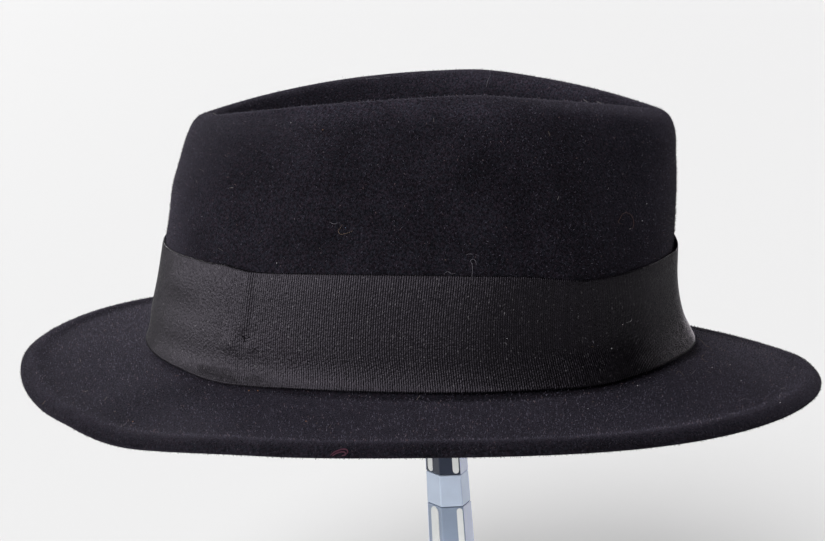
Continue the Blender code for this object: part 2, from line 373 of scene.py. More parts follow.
crestHeights = [
    # station from the back, height
    (-1.00, 0.868), (-0.75, 0.915), (-0.50, 0.952), (-0.25, 0.978), (0.00, 0.995),
    (0.20, 1.003), (0.50, 0.980), (0.75, 0.949), (1.00, 0.906),
]
creaseSections = [
    # length, width, depth
    (1.000, 1.000, 0.00), (0.968, 0.925, 0.05), (0.930, 0.830, 0.25), (0.880, 0.700, 0.56),
    (0.820, 0.550, 0.82), (0.760, 0.380, 0.95), (0.700, 0.200, 1.00), (0.500, 0.090, 1.01),
    (0.250, 0.030, 1.01), (0.020, 0.002, 1.01),
]
brimWaves = [
    # turns, cosine, sine
    (1, -0.219, -0.076), (2, -0.060, -0.326), (3, 0.024, 0.049), (4, 0.094, 0.034),
    (5, -0.028, -0.018),
]
brimMends = [
    # angle, rise in metres, angle spread
    (154.0, 0.0008, 13.0), (219.0, 0.0006, 5.0), (231.0, -0.0010, 7.0), (249.0, 0.0006, 8.0),
    (8.0, 0.0010, 9.0), (186.0, 0.0005, 7.0),
]
brimStations = [0.0, 0.10, 0.28, 0.50, 0.74]
lipRoll = [
    # share from the edge inwards, share of the rise
    (1.00, 0.00), (0.86, 0.06), (0.72, 0.28), (0.58, 0.68), (0.46, 0.95), (0.36, 1.00), (0.26, 0.84),
    (0.16, 0.46), (0.07, -0.04), (0.00, -0.55),
]
sideDents = [
    # angle, height, depth, angle spread, height spread
    (-36.0, 0.72, 1.00, 20.0, 0.20),
    (38.0, 0.73, 1.05, 21.0, 0.20),
    (-118.0, 0.62, 0.32, 16.0, 0.18),
    (-84.0, 0.58, 0.25, 12.0, 0.16),
    (128.0, 0.64, 0.30, 18.0, 0.18),
]
softForms = [
    # angle, height, rise, angle spread, height spread
    (248.0, 0.80, 0.8, 9.0, 0.14),
    (262.0, 0.58, -0.7, 8.0, 0.16),
    (238.0, 0.62, -0.6, 8.0, 0.13),
    (289.0, 0.83, 0.7, 8.0, 0.12),
    (283.0, 0.62, -0.5, 7.0, 0.10),
    (310.0, 0.78, -0.6, 9.0, 0.12),
    (296.0, 0.55, 0.4, 8.0, 0.10),
    (222.0, 0.78, 0.4, 7.0, 0.20),
    (60.0, 0.70, 0.6, 12.0, 0.15),
    (92.0, 0.62, -0.6, 11.0, 0.16),
    (140.0, 0.80, 0.5, 12.0, 0.15),
    (170.0, 0.60, -0.5, 12.0, 0.18),
    (5.0, 0.62, 0.4, 10.0, 0.16),
]


def signedPower(values, exponent):
    return np.sign(values) * np.abs(values) ** exponent


def ovalRing(turns, length, width, ends, sides):
    x = 0.5 * length * signedPower(np.cos(turns), ends)
    y = 0.5 * width * signedPower(np.sin(turns), sides)
    return x, y


def crownRing(section, turns):
    height, follow, length, width, shift, ends, sides = section
    degrees = np.degrees(turns)
    x, y = ovalRing(turns, hat["crownLength"] * length, hat["crownWidth"] * width, ends, sides)
    outwards = -softBumps(sideDents, degrees, height) * hat["dentDepth"]
    outwards = 1.0 + outwards / np.hypot(x, y)
    rise = 1.0 + follow * (smoothTable(crestHeights, np.cos(turns)) - 1.0)
    z = hat["crownHeight"] * height * rise
    return np.stack([x * outwards + hat["crownLength"] * shift, y * outwards, z], axis=1)


def creaseRing(section, turns):
    length, width, depth = section
    ahead = np.cos(turns)
    sides = hat["creaseSides"] + hat["creasePoint"] * np.maximum(ahead, 0.0)
    x, y = ovalRing(turns, hat["creaseLength"] * length, hat["creaseWidth"] * width, hat["creaseEnds"], sides)
    y *= 1.0 - hat["creaseTaper"] * ahead
    crest = hat["crownHeight"] * smoothTable(crestHeights, ahead)
    floor = hat["crownHeight"] - hat["creaseDepth"]
    z = crest + (floor - crest) * depth
    return np.stack([x + hat["crownLength"] * hat["creaseShift"], y, z], axis=1)


def brimRing(turns, fromCrown, fromEdge=None, lift=0.0):
    ends, sides = crownSections[0][5:]
    reach = 2.0 * hat["breakReach"]
    startX, startY = ovalRing(turns, hat["crownLength"] + reach, hat["crownWidth"] + reach, ends, sides)
    edgeX, edgeY = ovalRing(turns, brimLength, brimWidth, hat["brimEnds"], hat["brimSides"])
    across = np.hypot(edgeX - startX, edgeY - startY)
    if fromEdge is None:
        share = fromCrown * (1.0 - hat["lipWidth"] / across)
    else:
        share = 1.0 - hat["lipWidth"] * fromEdge / across
    edge = -np.ones_like(turns)
    for count, cosine, sine in brimWaves:
        edge += cosine * np.cos(count * turns) + sine * np.sin(count * turns)
    plane = hat["brimDrop"] * edge + hat["lipLevel"] - hat["lipTilt"] * np.sin(turns)
    for angle, rise, spread in brimMends:
        plane += rise * np.exp(-(degreesApart(np.degrees(turns), angle) / spread) ** 2)
    fall = share * (1.0 + hat["brimBow"]) - hat["brimBow"] * share * share
    z = -hat["breakDrop"] + (plane + hat["breakDrop"]) * fall + hat["lipRise"] * lift
    return np.stack([startX + (edgeX - startX) * share, startY + (edgeY - startY) * share, z], axis=1)


def feltSurface(turns, spacing):
    # the felt's outer face, from the middle of the crease out to the brim's edge
    rings = [creaseRing(section, turns) for section in reversed(creaseSections)]
    rings += [crownRing(section, turns) for section in reversed(crownSections)]
    rings += [brimRing(turns, share) for share in brimStations]
    rings += [brimRing(turns, None, share, lift) for share, lift in lipRoll]
    return smoothThrough(rings, spacing, len(lipRoll) - 1, hat["lipSpacing"]) + np.array(hatMiddle)


def makeFelt(material):
    columns = hat["columns"]
    turns = np.linspace(0.0, 2.0 * math.pi, columns, endpoint=False)
    outer = feltSurface(turns, hat["ringSpacing"])
    normals = -gridNormals(outer, True)
    normals[0] = (0.0, 0.0, 1.0)
    heights = (outer[:, :, 2] - hatMiddle.z) / hat["crownHeight"]
    level = np.abs(normals[:, :, 2])
    onSide = smoothStep(heights, *hat["softHeights"]) * (1.0 - smoothStep(level, *hat["softLevels"]))
    forms = softBumps(softForms, np.degrees(turns)[None, :], heights) * hat["softDepth"] * onSide
    outer = outer + normals * forms[:, :, None]
    inner = outer - hat["felt"] * normals
    # painted paler along the crown's crest and the brim's roll, where the felt turns most: worn nap together
    # with a painted highlight
    flat = hat["wornAndHighlitLoss"] * smoothStep(level, *hat["wornAndHighlitLevels"])
    crest = smoothStep(heights, *hat["wornAndHighlitHeights"]) * (1.0 - flat)
    reach = np.hypot(outer[:, :, 0] - hatMiddle.x, outer[:, :, 1] * brimLength / brimWidth)
    roll = np.exp(-((reach / (0.5 * brimLength) - hat["rollReach"]) / hat["rollSpread"]) ** 2)
    wearAndHighlight = np.maximum(crest, hat["rollWearAndHighlight"] * roll)
    # round edge of the brim, from the upper to the lower face
    edgeMiddle = 0.5 * (outer[-1] + inner[-1])
    outwards = -np.cross(normals[-1], np.roll(outer[-1], -1, axis=0) - np.roll(outer[-1], 1, axis=0))
    outwards /= np.linalg.norm(outwards, axis=1, keepdims=True)
    rims = []
    for step in range(1, hat["edgeRings"] + 1):
        turn = math.pi * step / (hat["edgeRings"] + 1)
        way = math.cos(turn) * normals[-1] + math.sin(turn) * outwards
        rims.append(edgeMiddle + 0.5 * hat["felt"] * way)
    rows = np.concatenate([outer, np.array(rims), inner[::-2]])
    last = (len(rows) - 1) * columns
    faces = gridFaces(len(rows), columns, True)
    faces += [tuple(range(columns - 1, -1, -1)), tuple(range(last, last + columns))]
    # the rows run outwards and the columns anticlockwise, so each face is turned over
    mesh = makeMesh("feltHat", rows, [face[::-1] for face in faces])
    obj = addObject("feltHat", mesh, material)
    wornAndHighlit = np.zeros(rows.shape[:2], np.float32)
    wornAndHighlit[:len(outer)] = wearAndHighlight
    mesh.attributes.new("wearAndHighlight", "FLOAT", "POINT").data.foreach_set("value", wornAndHighlit.ravel())
    print("felt:", len(outer), "rings outside,", len(rows), "in all")
    return obj, outer


feltFinish = dict(
    roughness=0.95,
    specular=0.02,
    sheen=0.067,
    sheenRoughness=0.36,
    sheenTint=(0.81, 0.73, 1.0, 1.0),
    grainScale=1300.0,
    grainRange=(0.38, 0.66),
    grainTones=(0.0033, 0.0116),
    tintScale=950.0,
    tintRange=(0.38, 0.62),
    tints=((1.10, 0.86, 1.22), (0.92, 0.92, 1.28)),
    blotchScale=60.0,
    blotchRange=(0.25, 0.75),
    blotchTones=(0.66, 1.34),
    wornAndHighlitTones=(1.0, 2.2),    # how much paler the worn felt is, wear and painted highlight together
    fibreScale=2200.0,
    bump=(0.9, 0.0006),      # strength, distance
)


def feltMaterial():
    # near black, with a fine grain, tints from reddish to bluish, broad blotches, and places painted paler
    # for wear and a painted highlight
    look = feltFinish
    material, tree, shader = newMaterial(
        "blackFelt", Roughness=look["roughness"], Specular_IOR_Level=look["specular"],
        Sheen_Weight=look["sheen"], Sheen_Roughness=look["sheenRoughness"], Sheen_Tint=look["sheenTint"],
    )
    place = objectPlace(tree)
    grain = addNoise(tree, place, look["grainScale"], 2.0, Roughness=0.6)
    tone = mapTo(tree, grain, *look["grainTones"], *look["grainRange"])
    # painted highlight: the crest and the roll are made paler, partly for worn nap
    wornAndHighlit = mapTo(tree, readAttribute(tree, "wearAndHighlight"), *look["wornAndHighlitTones"])
    tint = twoTones(tree, addNoise(tree, place, look["tintScale"], 1.0), *look["tints"], *look["tintRange"])
    shade = scaleBy(tree, tint, mathNode(tree, "MULTIPLY", tone, wornAndHighlit))
    broad = addNoise(tree, place, look["blotchScale"], 3.0)
    blotch = mapTo(tree, broad, *look["blotchTones"], *look["blotchRange"])
    setInput(tree, shader, "Base Color", scaleBy(tree, shade, blotch))
    setBump(tree, shader, addNoise(tree, place, look["fibreScale"], 2.0), *look["bump"])
    return material


# Fuzz and lint on the felt

fuzz = dict(
    crownCount=90000,
    brimCount=90000,
    edgeCount=40000,
    length=0.00045,
    width=0.00008,
    lean=0.9,                # how far a fibre lies over, from 0 to 1
    sizes=(0.45, 1.35),      # its size is between these shares of the above
    spin=6.283,              # and it is turned by up to this angle, in radians
    seed=11,
    crownFrom=0.33,          # the crown's fuzz starts at this share of its height, behind the ribbon
    brimUnder=0.02,          # and the brim's ends at this one
    edgeFrom=0.965,          # share of the way to the brim's edge
    paintedLightGains=dict(crown=1.0, brim=1.25, edge=0.6),      # how pale it is on each part: painted light and shade, paler on the brim and darker on its edge than on the crown
    tones=[
        # share of the fibres, colour
        (0.00, (0.0008, 0.0008, 0.001)), (0.60, (0.002, 0.002, 0.0026)), (0.74, (0.022, 0.019, 0.028)),
        (0.92, (0.046, 0.042, 0.060)), (0.985, (0.072, 0.066, 0.086)), (0.990, (0.090, 0.050, 0.046)),
        (1.00, (0.120, 0.112, 0.135)),
    ],
    fineScale=2500.0,
    fineTones=(0.4, 1.6),
    roughness=(0.6, 0.95),
    specular=0.1,
    lintCount=420,
    lintLength=0.0015,
    lintWidth=0.00007,
    lintLean=2.5,
    lintSeed=31,
    lintTones=[
        (0.0, (0.04, 0.037, 0.05)), (0.7, (0.08, 0.075, 0.09)), (0.85, (0.10, 0.07, 0.05)),
        (1.0, (0.20, 0.19, 0.20)),
    ],
)


def fuzzTree():
    # short fibres that stand on a surface, thicker where its attribute fuzzMask is higher
    tree, given, out = newShapeTree("fuzz", [
        ("Density", "Float", 1000.0), ("Length", "Float", 0.001), ("Width", "Float", 0.00005),
        ("Lean", "Float", 0.8), ("Seed", "Int", 1), ("Material", "Material", None),
    ])

    def randomNumber(low, high):
        inputs = {2: low, 3: high, "Seed": given["Seed"]}
        return addNode(tree, "FunctionNodeRandomValue", inputs, data_type="FLOAT").outputs[1]

    mask = addNode(tree, "GeometryNodeInputNamedAttribute", {"Name": "fuzzMask"}, data_type="FLOAT")
    density = mathNode(tree, "MULTIPLY", mask.outputs["Attribute"], given["Density"])
    spread = addNode(tree, "GeometryNodeDistributePointsOnFaces",
                     {"Mesh": given["Geometry"], "Density": density, "Seed": given["Seed"]})
    across = addNode(tree, "ShaderNodeCombineXYZ", {"X": given["Width"]})
    side = addNode(tree, "GeometryNodeCurvePrimitiveLine", {"End": across.outputs[0]})
    tip = addNode(tree, "ShaderNodeCombineXYZ", {"Z": given["Length"]})
    stem = addNode(tree, "GeometryNodeCurvePrimitiveLine", {"End": tip.outputs[0]})
    fibre = addNode(tree, "GeometryNodeCurveToMesh",
                    {"Curve": stem.outputs[0], "Profile Curve": side.outputs[0]})
    # each fibre points somewhere between the surface's normal and a random direction
    anywhere = addNode(tree, "FunctionNodeRandomValue",
                       {"Min": (-1.0, -1.0, -1.0), "Max": (1.0, 1.0, 1.0), "Seed": given["Seed"]},
                       data_type="FLOAT_VECTOR")
    lean = scaleBy(tree, anywhere.outputs[0], given["Lean"])
    way = addNode(tree, "ShaderNodeVectorMath", {0: lean, 1: spread.outputs["Normal"]}, operation="ADD")
    turn = addNode(tree, "FunctionNodeAlignRotationToVector", {"Vector": way.outputs[0]}, axis="Z")
    own = addNode(tree, "FunctionNodeAxisAngleToRotation",
                  {"Axis": (0.0, 0.0, 1.0), "Angle": randomNumber(0.0, fuzz["spin"])})
    both = addNode(tree, "FunctionNodeRotateRotation",
                   {"Rotation": turn.outputs[0], "Rotate By": own.outputs[0]}, rotation_space="LOCAL")
    stand = addNode(tree, "GeometryNodeInstanceOnPoints",
                    {"Points": spread.outputs["Points"], "Instance": fibre.outputs[0],
                     "Rotation": both.outputs[0], "Scale": randomNumber(*fuzz["sizes"])})
    toned = addNode(tree, "GeometryNodeStoreNamedAttribute",
                    {"Geometry": stand.outputs[0], "Name": "fibreTone", "Value": randomNumber(0.0, 1.0)},
                    data_type="FLOAT", domain="INSTANCE")
    endTree(tree, toned.outputs[0], given, out)
    return tree


def fibreMaterial(name, tones, gain=1.0):
    # most fibres are dark, some grey, a few pale, bluish or reddish, each by its own number
    material, tree, shader = newMaterial(name, Specular_IOR_Level=fuzz["specular"])
    ramp = addNode(tree, "ShaderNodeValToRGB", {"Fac": readAttribute(tree, "fibreTone")})
    for index, (at, colour) in enumerate(tones):
        stop = ramp.color_ramp.elements[index] if index < 2 else ramp.color_ramp.elements.new(at)
        stop.position = at
        stop.color = (*(gain * value for value in colour), 1.0)
    fine = addNoise(tree, objectPlace(tree), fuzz["fineScale"], 1.0)
    shade = scaleBy(tree, ramp.outputs["Color"], mapTo(tree, fine, *fuzz["fineTones"]))
    setInput(tree, shader, "Base Color", shade)
    setInput(tree, shader, "Roughness", mapTo(tree, fine, *fuzz["roughness"]))
    return material


def maskFelt(feltObject, kind):
    # marks the points of the felt where one kind of fuzz stands
    mesh = feltObject.data
    points = np.empty(len(mesh.vertices) * 3, np.float32)
    mesh.vertices.foreach_get("co", points)
    points = points.reshape(-1, 3) - np.array(hatMiddle, np.float32)
    reach = np.hypot(points[:, 0] / (0.5 * brimLength), points[:, 1] / (0.5 * brimWidth))
    height = points[:, 2] / hat["crownHeight"]
    outer = np.zeros(len(points), bool)
    outer[:int(mesh["outerCount"])] = True
    crown = outer & (height > fuzz["crownFrom"])
    edge = reach > fuzz["edgeFrom"]
    brim = outer & ~edge & (height < fuzz["brimUnder"])
    mask = dict(crown=crown, brim=brim, edge=edge, open=crown | brim)[kind]
    mesh.attributes["fuzzMask"].data.foreach_set("value", mask.astype(np.float32))


def maskedArea(mesh):
    # area of the four-sided faces whose first point is marked
    mask = np.empty(len(mesh.vertices), np.float32)
    mesh.attributes["fuzzMask"].data.foreach_get("value", mask)
    return sum(p.area for p in mesh.polygons if mask[p.vertices[0]] > 0.5 and len(p.vertices) == 4)


def makeFuzz(feltObject):
    feltObject.data.attributes.new("fuzzMask", "FLOAT", "POINT")
    tree = fuzzTree()
    pieces = []
    # each part's fibres are painted lighter or darker to follow how the light falls there
    for index, (kind, gain) in enumerate(fuzz["paintedLightGains"].items()):
        maskFelt(feltObject, kind)
        material = fibreMaterial(kind + "Fibre", fuzz["tones"], gain)
        values = {"Density": fuzz[kind + "Count"] / maskedArea(feltObject.data), "Length": fuzz["length"],
                  "Width": fuzz["width"], "Lean": fuzz["lean"], "Seed": fuzz["seed"] + index,
                  "Material": material}
        pieces.append(growTree(feltObject, tree, values, kind + "Fuzz"))
    maskFelt(feltObject, "open")
    material = fibreMaterial("lintFibre", fuzz["lintTones"])
    values = {"Density": fuzz["lintCount"] / maskedArea(feltObject.data), "Length": fuzz["lintLength"],
              "Width": fuzz["lintWidth"], "Lean": fuzz["lintLean"], "Seed": fuzz["lintSeed"],
              "Material": material}
    pieces.append(growTree(feltObject, tree, values, "looseLint"))
    feltObject.data.attributes.remove(feltObject.data.attributes["fuzzMask"])
    return pieces


# Ribbon

ribbon = dict(
    height=0.0386,
    thickness=0.00055,
    clearance=0.00025,
    flare=0.0013,
    flareHeight=0.0085,
    ribPitch=0.00082,
    ribDepth=0.00020,
    tooth=0.00016,           # depth of the fine teeth along its edges
    endAngle=243.4,          # where its end stops, over its start
    overlap=0.0180,
    endLift=0.00066,         # how far its end stands off the layer below
    endRamp=0.0160,
    endTaper=0.0036,         # length over which the end closes on the layer below, above the tack
    endTaperSewn=0.0110,     # and below it
    endSlant=0.0026,         # how much shorter the end is at its upper edge
    endTuck=0.0006,          # the end meets the layer below this far before it stops
    endDive=0.0004,          # and sinks into it over this length
    endSink=0.00030,
    tackHeight=0.42,         # share of its width at which the end is tacked down
    tackBelow=0.05,
    tackAbove=0.12,
    leastGap=0.00008,        # no hollow comes closer to the felt than this
    columnsPerRib=4,
    rows=18,
    rowPower=1.15,           # rows lie closer together towards the lower edge
    edgeRows=(0.010, 0.990),
    innerRows=6,
    turnSteps=1440,
    profileSpacing=0.0008,
)
ribbonEdges = [
    # angle from the front, lower, upper
    (0, 0.060, 0.000), (20, 0.055, -0.015), (38, 0.037, -0.046), (54, 0.008, -0.073),
    (66, 0.016, -0.022), (88, 0.014, 0.004), (105, 0.006, 0.000), (124, -0.020, -0.020),
    (142, 0.010, 0.010), (160, 0.030, 0.015), (180, 0.025, 0.000),
]
ribbonForms = [
    # angle, share of the width, rise in metres, angle spread, share spread
    (303.0, 0.55, -0.0010, 13.0, 0.26),
    (308.0, 0.12, 0.0011, 16.0, 0.14),
    (284.0, 0.50, 0.0006, 9.0, 0.50),
    (214.0, 0.74, 0.0006, 8.0, 0.10),
    (215.0, 0.53, -0.0005, 9.0, 0.07),
    (350.0, 0.30, 0.0012, 10.0, 0.60),
    (350.0, 1.00, 0.0006, 10.0, 0.40),
    (352.0, 0.00, 0.0006, 9.0, 0.25),
    (239.8, 0.40, -0.0006, 1.5, 0.035),
    (236.6, 0.34, 0.0005, 2.6, 0.050),
    (242.0, 0.36, 0.0004, 1.6, 0.035),
]
ribbonTops = [
    # where its upper edge stands higher on the near side: angle, share, rise in metres, two spreads
    (276.0, 1.0, 0.0013, 34.0, 1.0),
    (222.0, 1.0, 0.0006, 8.0, 1.0),
    (232.5, 1.0, 0.0013, 5.5, 1.0),
]


def crownSide(turns):
    # the crown's profile at each turn, from the brim up, as heights and points
    surface = feltSurface(turns, ribbon["profileSpacing"])[::-1]
    return surface[:, :, 2] - hatMiddle.z, surface


def pointsAtHeight(profile, heights):
    # the point on the crown's side at each column's height
    z, surface = profile
    columns = np.arange(surface.shape[1])
    onSide = (z > -0.5 * hat["breakDrop"]).argmax(axis=0)
    above = np.array([onSide[c] + np.argmax(z[onSide[c]:, c] >= heights[c]) for c in columns])
    low = z[above - 1, columns]
    high = z[above, columns]
    share = np.clip((heights - low) / np.maximum(high - low, 1e-9), 0.0, 1.0)[:, None]
    return surface[above - 1, columns] * (1.0 - share) + surface[above, columns] * share


def ribbonTurns():
    # turns at even distances along the ribbon, those distances, its length, its ribs and its overlap
    fine = np.linspace(0.0, 2.0 * math.pi, ribbon["turnSteps"], endpoint=False)
    middle = pointsAtHeight(crownSide(fine), np.full(fine.shape, 0.5 * ribbon["height"]))[:, :2]
    loop = np.concatenate([middle, middle[:1]])
    along = np.concatenate([[0.0], np.cumsum(np.linalg.norm(np.diff(loop, axis=0), axis=1))])
    perimeter = along[-1]
    angles = np.concatenate([fine, [2.0 * math.pi]])
    end = np.interp(math.radians(ribbon["endAngle"]), angles, along)
    # the ribs of the overlap lie in step with those below them
    pitch = perimeter / round(perimeter / ribbon["ribPitch"])
    overlap = pitch * round(ribbon["overlap"] / pitch)
    length = perimeter + overlap
    ribCount = int(round(length / pitch))
    distance = np.linspace(0.0, length, ribCount * ribbon["columnsPerRib"] + 1)
    place = (end - overlap + distance) % perimeter
    return np.interp(place, along, angles), distance, length, ribCount, overlap


def makeRibbon(material):
    turns, distance, length, ribCount, overlap = ribbonTurns()
    profile = crownSide(turns)
    degrees = np.degrees(turns)
    fromFront = degreesApart(degrees, 0.0)
    lower = ribbon["height"] * smoothTable(ribbonEdges, fromFront, 1)
    upper = ribbon["height"] * (1.0 + smoothTable(ribbonEdges, fromFront, 2))
    upper = upper + softBumps(ribbonTops, degrees, 1.0)
    ribTurns = distance / length * ribCount
    tooth = ribbon["tooth"] * np.abs(np.sin(math.pi * ribTurns))
    onTop = smoothStep(distance, length - overlap - ribbon["endRamp"], length - overlap)

    def face(shares, outside):
        backing = []
        for share in shares:
            height = lower + (upper - lower) * share
            if share in (0.0, 1.0):
                height = height + tooth * (2.0 * share - 1.0)
            backing.append(pointsAtHeight(profile, height))
        backing = np.array(backing)
        away = gridNormals(backing, False) * np.array([1.0, 1.0, 0.0])
        away /= np.linalg.norm(away, axis=2, keepdims=True)
        rows = shares[:, None]
        flare = np.maximum(0.0, 1.0 - rows * ribbon["height"] / ribbon["flareHeight"]) ** 2
        forms = softBumps(ribbonForms, degrees[None, :], rows)
        offset = np.maximum(ribbon["clearance"] + ribbon["flare"] * flare + forms, ribbon["leastGap"])
        # the end closes on the layer below, over a longer way where it is sewn down
        tack = ribbon["tackHeight"]
        loose = smoothStep(rows, tack - ribbon["tackBelow"], tack + ribbon["tackAbove"])
        taper = ribbon["endTaperSewn"] + (ribbon["endTaper"] - ribbon["endTaperSewn"]) * loose
        left = length - distance - ribbon["endSlant"] * rows - ribbon["endTuck"]
        offset = offset + onTop * smoothStep(left, 0.0, taper) * ribbon["endLift"]
        offset = offset - smoothStep(-left, 0.0, ribbon["endDive"]) * ribbon["endSink"]
        if outside:
            offset = offset + ribbon["thickness"]
        return backing + away * offset[:, :, None]

    shares = np.linspace(0.0, 1.0, ribbon["rows"])[1:-1] ** ribbon["rowPower"]
    nearLower, nearUpper = ribbon["edgeRows"]
    outside = face(np.concatenate([[0.0, nearLower], shares, [nearUpper, 1.0]]), True)
    inside = face(np.linspace(0.0, 1.0, ribbon["innerRows"]), False)
    columns = len(turns)
    rows = np.concatenate([outside, inside[::-1]])
    faces = gridFaces(len(rows), columns, False)
    under = (len(rows) - 1) * columns
    faces += [(under + column, under + column + 1, column + 1, column) for column in range(columns - 1)]
    faces.append(tuple(row * columns for row in reversed(range(len(rows)))))
    faces.append(tuple(row * columns + columns - 1 for row in range(len(rows))))
    mesh = makeMesh("ribbonBase", rows, faces)
    side = np.concatenate([np.ones(outside.shape[:2]), np.zeros(inside.shape[:2])]).ravel()
    across = np.repeat(rows[:, :, 2].mean(axis=1, keepdims=True), columns, axis=1).ravel()
    readings = dict(outerFace=side, ribTurns=np.tile(ribTurns, len(rows)), across=across)
    for name, values in readings.items():
        mesh.attributes.new(name, "FLOAT", "POINT").data.foreach_set("value", values.astype(np.float32))
    base = addObject("ribbonBase", mesh, material)
    band = growTree(base, ribTree(), {"Rib depth": ribbon["ribDepth"], "Material": material}, "ribbonBand")
    removeObject(base)
    band.data.shade_smooth()
    print("ribbon: %.1f mm long, %d ribs" % (1000.0 * length, ribCount))
    return band, length


def ribTree():
    # raises a rounded rib between every two whole turns of the attribute ribTurns
    tree, given, out = newShapeTree("ribs", [("Rib depth", "Float", 0.0001), ("Material", "Material", None)])
    ribs = addNode(tree, "GeometryNodeInputNamedAttribute", {"Name": "ribTurns"}, data_type="FLOAT")
    face = addNode(tree, "GeometryNodeInputNamedAttribute", {"Name": "outerFace"}, data_type="FLOAT")
    wave = mathNode(tree, "SINE", mathNode(tree, "MULTIPLY", ribs.outputs["Attribute"], math.pi))
    deep = mathNode(tree, "MULTIPLY", mathNode(tree, "ABSOLUTE", wave), given["Rib depth"])
    only = mathNode(tree, "MULTIPLY", deep, face.outputs["Attribute"])
    push = scaleBy(tree, addNode(tree, "GeometryNodeInputNormal").outputs[0], only)
    move = addNode(tree, "GeometryNodeSetPosition", {"Geometry": given["Geometry"], "Offset": push})
    endTree(tree, move.outputs[0], given, out)
    return tree


ribbonFinish = dict(
    specular=0.180,
    specularTint=(0.92, 0.83, 1.0, 1.0),
    threads=(1.3, 1000.0, 1.0),      # steps of the threads' pattern for each rib and each metre across
    threadRange=(0.36, 0.66),
    threadTones=((0.0003, 0.00025, 0.0004), (0.0040, 0.0034, 0.0046)),
    ribTones=(0.6, 1.4),
    grooveShadeRange=(0.1, 0.8),
    grooveShadeTones=(0.3, 1.15),
    glintFleckScale=1150.0,
    glintFleckRange=(0.67, 0.85),
    glintFleckTones=(0.0, 0.07),
    glintFleckColour=(1.0, 0.95, 1.0),
    roughness=(0.30, 0.56),
    gritScale=1250.0,
    bump=(0.5, 0.00036),     # strength, distance
)


def ribbonMaterial():
    # ribs with their own tones, grooves painted darker as painted shade, crossing threads and bright flecks
    # painted in as glints
    look = ribbonFinish
    material, tree, shader = newMaterial(
        "ribbedRibbon", Specular_IOR_Level=look["specular"], Specular_Tint=look["specularTint"],
    )
    place = objectPlace(tree)
    ribs = readAttribute(tree, "ribTurns")
    weave = addNode(tree, "ShaderNodeCombineXYZ", {"X": ribs, "Y": readAttribute(tree, "across")})
    threads = addNode(tree, "ShaderNodeVectorMath", {0: weave.outputs[0], 1: look["threads"]},
                      operation="MULTIPLY")
    thread = addNoise(tree, threads.outputs[0], 1.0, 1.5)
    tone = addNode(tree, "ShaderNodeTexWhiteNoise", {"W": mathNode(tree, "FLOOR", ribs)},
                   noise_dimensions="1D")
    ribTone = mapTo(tree, tone.outputs["Value"], *look["ribTones"])
    wave = mathNode(tree, "SINE", mathNode(tree, "MULTIPLY", ribs, math.pi))
    # painted shade: the grooves between the ribs are darker
    grooveShade = mapTo(tree, mathNode(tree, "ABSOLUTE", wave), *look["grooveShadeTones"], *look["grooveShadeRange"])
    shade = twoTones(tree, thread, *look["threadTones"], *look["threadRange"])
    ground = scaleBy(tree, shade, mathNode(tree, "MULTIPLY", ribTone, grooveShade))
    # painted glints: bright near-white flecks added to the base colour
    glintSpeck = addNoise(tree, place, look["glintFleckScale"], 1.0)
    bright = scaleBy(tree, look["glintFleckColour"], mapTo(tree, glintSpeck, *look["glintFleckTones"], *look["glintFleckRange"]))
    total = addNode(tree, "ShaderNodeVectorMath", {0: ground, 1: bright}, operation="ADD")
    setInput(tree, shader, "Base Color", total.outputs[0])
    setInput(tree, shader, "Roughness", mapTo(tree, thread, *look["roughness"]))
    height = mathNode(tree, "ADD", thread, addNoise(tree, place, look["gritScale"], 1.0))
    setBump(tree, shader, height, *look["bump"])
    return material
